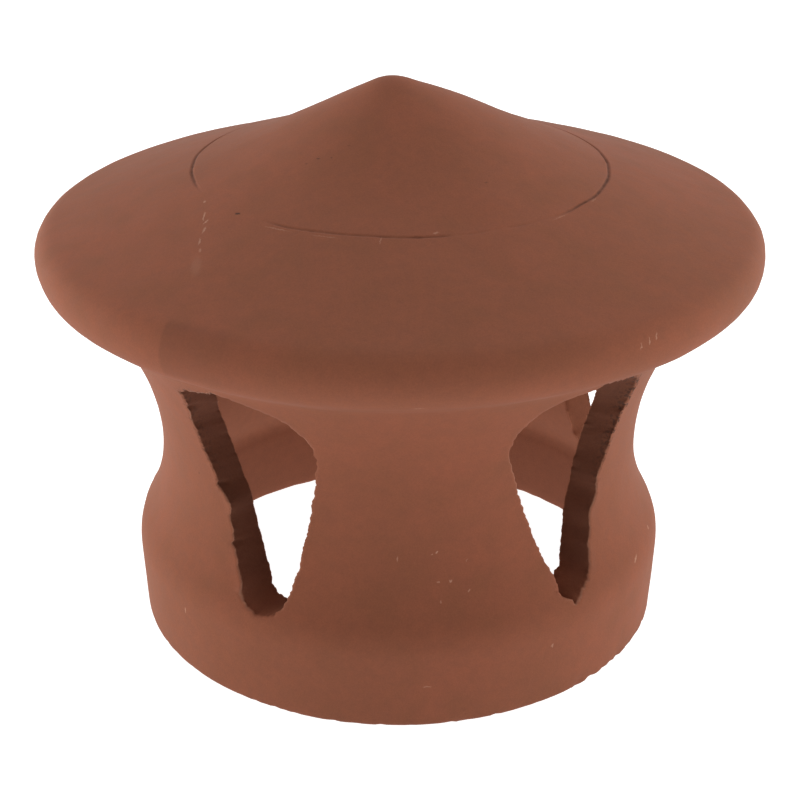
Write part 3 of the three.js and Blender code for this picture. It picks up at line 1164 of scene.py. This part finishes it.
def terracotta(scene):
    """Unglazed fired clay: soft mottling, fine grain, rough cuts with painted shade, a paler inside
    as painted light, scuffs, pits and a dirty line
    """
    clay = scene.cowl_clay
    material = bpy.data.materials.new("fired_terracotta")
    material.use_nodes = True
    tree = material.node_tree
    tree.nodes.clear()
    nodes = Nodes(tree)
    place = nodes.add("TexCoord").outputs["Object"]
    shares = {
        name: nodes.add("Attribute", {"attribute_name": name}).outputs["Fac"] for name in SHARES
    }
    mottle = nodes.noise(place, MOTTLE_WAVES, 4, 0.6)
    grain = nodes.noise(place, GRAIN_WAVES, 2, 0.6)
    colour = fired_colour(nodes, clay, place, shares, mottle, grain)
    colour = marked_colour(nodes, scene, place, shares, colour)
    rough = nodes.ramp(mottle, 0.3, 0.7, clay.roughness - 0.04, clay.roughness + 0.04)
    raised = nodes.times(mottle, nodes.ramp(shares["cut"], 0, 1, 0.8, 3))
    raised = nodes.maths("ADD", raised, nodes.times(grain, 0.25))
    bump = nodes.add("Bump", Strength=0.5, Distance=0.25 * MM, Height=raised).outputs[0]
    shader = nodes.add("BsdfPrincipled", Base_Color=colour, Roughness=rough, Normal=bump)
    shader.inputs["Specular IOR Level"].default_value = 0.2
    nodes.add("OutputMaterial", Surface=shader.outputs[0])
    return material


SHARP_ANGLE = math.radians(60)


class MakeCowl(bpy.types.Operator):
    """Builds the fired clay body of the cowl in the frame's place"""

    bl_idname = "cowl.make_body"
    bl_label = "Make the cowl"

    def execute(self, context):
        surface = clay_surface(context.scene)
        mesh = bpy.data.meshes.new("cowl_clay")
        mesh.from_pydata(surface.verts, [], surface.faces)
        if mesh.validate():
            raise RuntimeError("The clay's surface has faulty faces")
        for name, values in surface.shares.items():
            mesh.attributes.new(name, "FLOAT", "POINT").data.foreach_set("value", values)
        mesh.shade_smooth()
        mesh.set_sharp_from_angle(angle=SHARP_ANGLE)
        mesh.materials.append(terracotta(context.scene))
        body = bpy.data.objects.new("cowl_clay", mesh)
        context.scene.collection.objects.link(body)
        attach(body, "root")
        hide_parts("cowl")
        return {"FINISHED"}


def light_table(studio):
    """The matt white top of a light table, which glows softly"""
    material = bpy.data.materials.new("light_table")
    material.use_nodes = True
    shader = material.node_tree.nodes["Principled BSDF"]
    shader.inputs["Base Color"].default_value = tuple(studio.floor_colour) + (1,)
    shader.inputs["Roughness"].default_value = 0.9
    shader.inputs["Specular IOR Level"].default_value = 0.1
    shader.inputs["Emission Color"].default_value = (1, 1, 1, 1)
    shader.inputs["Emission Strength"].default_value = studio.floor_glow
    return material


# The side lamps: name, place, width and height. Both are aimed at the middle of the neck
LAMPS = (("left", (-1.2, 0.3, 0.15), 1.6, 0.6), ("right", (1.2, 0, 0.3), 1.6, 0.8))
LAMP_TARGET = Vector((0, 0, 0.1))

# The way in which the air is darkest, behind the camera, and how near to it the dark starts
DARK_AIR = Vector((-0.08, -0.92, 0.38)).normalized()
DARK_START = 0.35


def soft_light(scene, name, place, width, height, power, colour):
    """A large rectangular lamp aimed at the cowl"""
    lamp = bpy.data.lights.new(name, "AREA")
    lamp.shape = "RECTANGLE"
    lamp.size, lamp.size_y = width, height
    lamp.energy = power
    lamp.color = colour
    light = bpy.data.objects.new(name, lamp)
    light.location = place
    light.rotation_euler = (LAMP_TARGET - Vector(place)).to_track_quat("-Z", "Y").to_euler()
    light.visible_camera = False
    scene.collection.objects.link(light)


class MakeStudio(bpy.types.Operator):
    """Sets up the floor, the soft lights and the camera"""

    bl_idname = "cowl.make_studio"
    bl_label = "Make the studio"

    def execute(self, context):
        scene = context.scene
        studio = scene.cowl_studio
        self.make_floor(scene, studio)
        self.make_light(scene, studio)
        self.make_camera(scene, studio)
        scene.view_settings.view_transform = "Standard"
        return {"FINISHED"}

    def make_floor(self, scene, studio):
        half = studio.floor_size
        corners = [(-half, -half, 0), (half, -half, 0), (half, half, 0), (-half, half, 0)]
        mesh = bpy.data.meshes.new("floor")
        mesh.from_pydata(corners, [], [(0, 1, 2, 3)])
        mesh.materials.append(light_table(studio))
        floor = bpy.data.objects.new("floor", mesh)
        scene.collection.objects.link(floor)

    def make_light(self, scene, studio):
        world = bpy.data.worlds.new("studio_air")
        world.use_nodes = True
        scene.world = world
        nodes = Nodes(world.node_tree)
        way = nodes.add("TexCoord").outputs["Generated"]
        towards = nodes.vectors("DOT_PRODUCT", _0=way, _1=DARK_AIR)["Value"]
        darkest = studio.sky * studio.front
        background = world.node_tree.nodes["Background"]
        background.inputs["Color"].default_value = (1, 1, 1, 1)
        strength = nodes.ramp(towards, DARK_START, 1, studio.sky, darkest)
        nodes.feed(background.inputs["Strength"], strength)
        for side, place, width, height in LAMPS:
            power = getattr(studio, side)
            soft_light(scene, "lamp_" + side, place, width, height, power, studio.lamp_colour)

    def make_camera(self, scene, studio):
        lens = bpy.data.cameras.new("camera")
        lens.lens = studio.lens
        camera = bpy.data.objects.new("camera", lens)
        turn = studio.camera_azimuth
        out = Vector((math.sin(turn), -math.cos(turn), 0)) * studio.camera_distance
        camera.location = out + Vector((0, 0, studio.camera_height))
        camera.rotation_euler = (math.pi / 2 - studio.camera_pitch, 0, turn - studio.camera_yaw)
        scene.collection.objects.link(camera)
        scene.camera = camera


class CowlPanel(bpy.types.Panel):
    """Lists the steps and sizes of the cowl"""

    bl_idname = "VIEW3D_PT_cowl"
    bl_label = "Chimney cowl"
    bl_space_type = "VIEW_3D"
    bl_region_type = "UI"
    bl_category = "Cowl"

    def draw(self, context):
        layout = self.layout
        for operator in (MakeCowl, MakeStudio):
            layout.operator(operator.bl_idname)
        for name, group in GROUPS.items():
            box = layout.box()
            box.label(text=group.__doc__)
            for prop in group.__annotations__:
                box.prop(getattr(context.scene, name), prop)


CLASSES = (*GROUPS.values(), MakeCowl, MakeStudio, CowlPanel)


def register():
    for one in CLASSES:
        bpy.utils.register_class(one)
    for name, group in GROUPS.items():
        setattr(bpy.types.Scene, name, PointerProperty(type=group))


def unregister():
    for name in GROUPS:
        delattr(bpy.types.Scene, name)
    for one in reversed(CLASSES):
        bpy.utils.unregister_class(one)


def main():
    register()
    bpy.ops.cowl.make_body()
    bpy.ops.cowl.make_studio()


if __name__ == "__main__":
    main()
